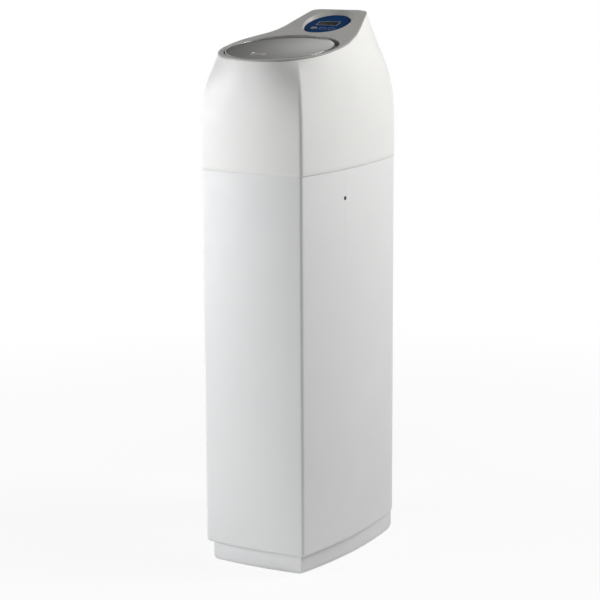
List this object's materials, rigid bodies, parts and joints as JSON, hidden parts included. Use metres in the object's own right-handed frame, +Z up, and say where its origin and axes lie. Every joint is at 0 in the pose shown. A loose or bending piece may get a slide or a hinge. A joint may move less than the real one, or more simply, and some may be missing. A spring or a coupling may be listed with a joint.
{
  "type": "cabinet water softener",
  "caption": "Tall white cabinet water softener with bowed front and sides, sloping grey top, dished salt lid, blue oval control plate and rear pipe connections.",
  "frame": {"origin": "on the floor under the middle of the bounding box", "axes": "+Z up, -Y towards the bowed front, +X towards the side with the overflow hole"},
  "size_m": [0.3034, 0.4524, 1.1588],
  "materials": {
    "white_shell": "satin",
    "grey_panel": "satin",
    "grey_lid": "satin",
    "steel": "brushed",
    "blue_plate": "gloss",
    "dark_glass": "gloss",
    "beige_key": "gloss",
    "blue_key": "gloss",
    "board": "satin",
    "dark_plastic": "satin",
    "light_plastic": "satin",
    "vessel": "gloss",
    "black_rubber": "matte",
    "resin": "matte",
    "brass": "satin",
    "float_foam": "matte"
  },
  "bodies": {
    "cabinet_body": {"cabinet": "white_shell", "resin_tank": "vessel", "tank_base": "black_rubber", "riser_tube": "light_plastic", "distributor": "light_plastic", "resin_bed": "resin", "valve_body": "dark_plastic", "drive_frame": "dark_plastic", "drive_motor": "dark_plastic", "drive_cover": "dark_plastic", "inlet_connector": "brass", "outlet_connector": "brass", "drain_fitting": "light_plastic", "brine_well": "light_plastic", "well_cap": "grey_panel", "brine_valve": "light_plastic", "brine_tube": "black_rubber", "salt_grid": "light_plastic"},
    "hood_body": {"hood": "white_shell", "top_panel": "grey_panel", "lid_pin": "steel", "fascia": "blue_plate", "lcd_window": "dark_glass", "circuit_board": "board", "lcd_module": "dark_plastic", "board_cover": "light_plastic"},
    "lid_body": {"lid": "grey_lid"},
    "left_key": {"button_left": "beige_key"},
    "middle_key": {"button_middle": "blue_key"},
    "right_key": {"button_right": "blue_key"},
    "gear_body": {"drive_gear": "light_plastic"},
    "pinion_body": {"motor_pinion": "steel"},
    "piston_body": {"valve_piston": "light_plastic"},
    "float_body": {"brine_float": "float_foam"}
  },
  "joints": [
    {"name": "hood_lift", "type": "slide", "parent": "cabinet_body", "child": "hood_body", "axis": [0, 0, 1], "range_m": [0, 0.3]},
    {"name": "lid_hinge", "type": "hinge", "parent": "hood_body", "child": "lid_body", "pos_m": [0, 0.03172, 1.10668], "axis": [-1, 0, 0], "range_deg": [0, 95]},
    {"name": "left_press", "type": "slide", "parent": "hood_body", "child": "left_key", "axis": [0, -0.2924, 0.9563], "range_m": [-0.0008, 0], "stiffness_N_per_m": 600},
    {"name": "middle_press", "type": "slide", "parent": "hood_body", "child": "middle_key", "axis": [0, -0.2924, 0.9563], "range_m": [-0.0008, 0], "stiffness_N_per_m": 600},
    {"name": "right_press", "type": "slide", "parent": "hood_body", "child": "right_key", "axis": [0, -0.2924, 0.9563], "range_m": [-0.0008, 0], "stiffness_N_per_m": 600},
    {"name": "gear_turn", "type": "hinge", "parent": "cabinet_body", "child": "gear_body", "pos_m": [0, 0.02, 0.85], "axis": [0, 1, 0], "range_deg": [0, 180]},
    {"name": "pinion_turn", "type": "hinge", "parent": "cabinet_body", "child": "pinion_body", "pos_m": [0, 0.02, 0.895], "axis": [0, 1, 0], "range_deg": [-720, 0]},
    {"name": "piston_slide", "type": "slide", "parent": "cabinet_body", "child": "piston_body", "axis": [0, 1, 0], "range_m": [0, 0.03]},
    {"name": "float_rise", "type": "slide", "parent": "cabinet_body", "child": "float_body", "axis": [0, 0, 1], "range_m": [0, 0.08]}
  ],
  "couplings": [
    {"joint": "pinion_turn", "follows": "gear_turn", "ratio": -4},
    {"joint": "piston_slide", "follows": "gear_turn", "m_per_rad": 0.0095493}
  ]
}
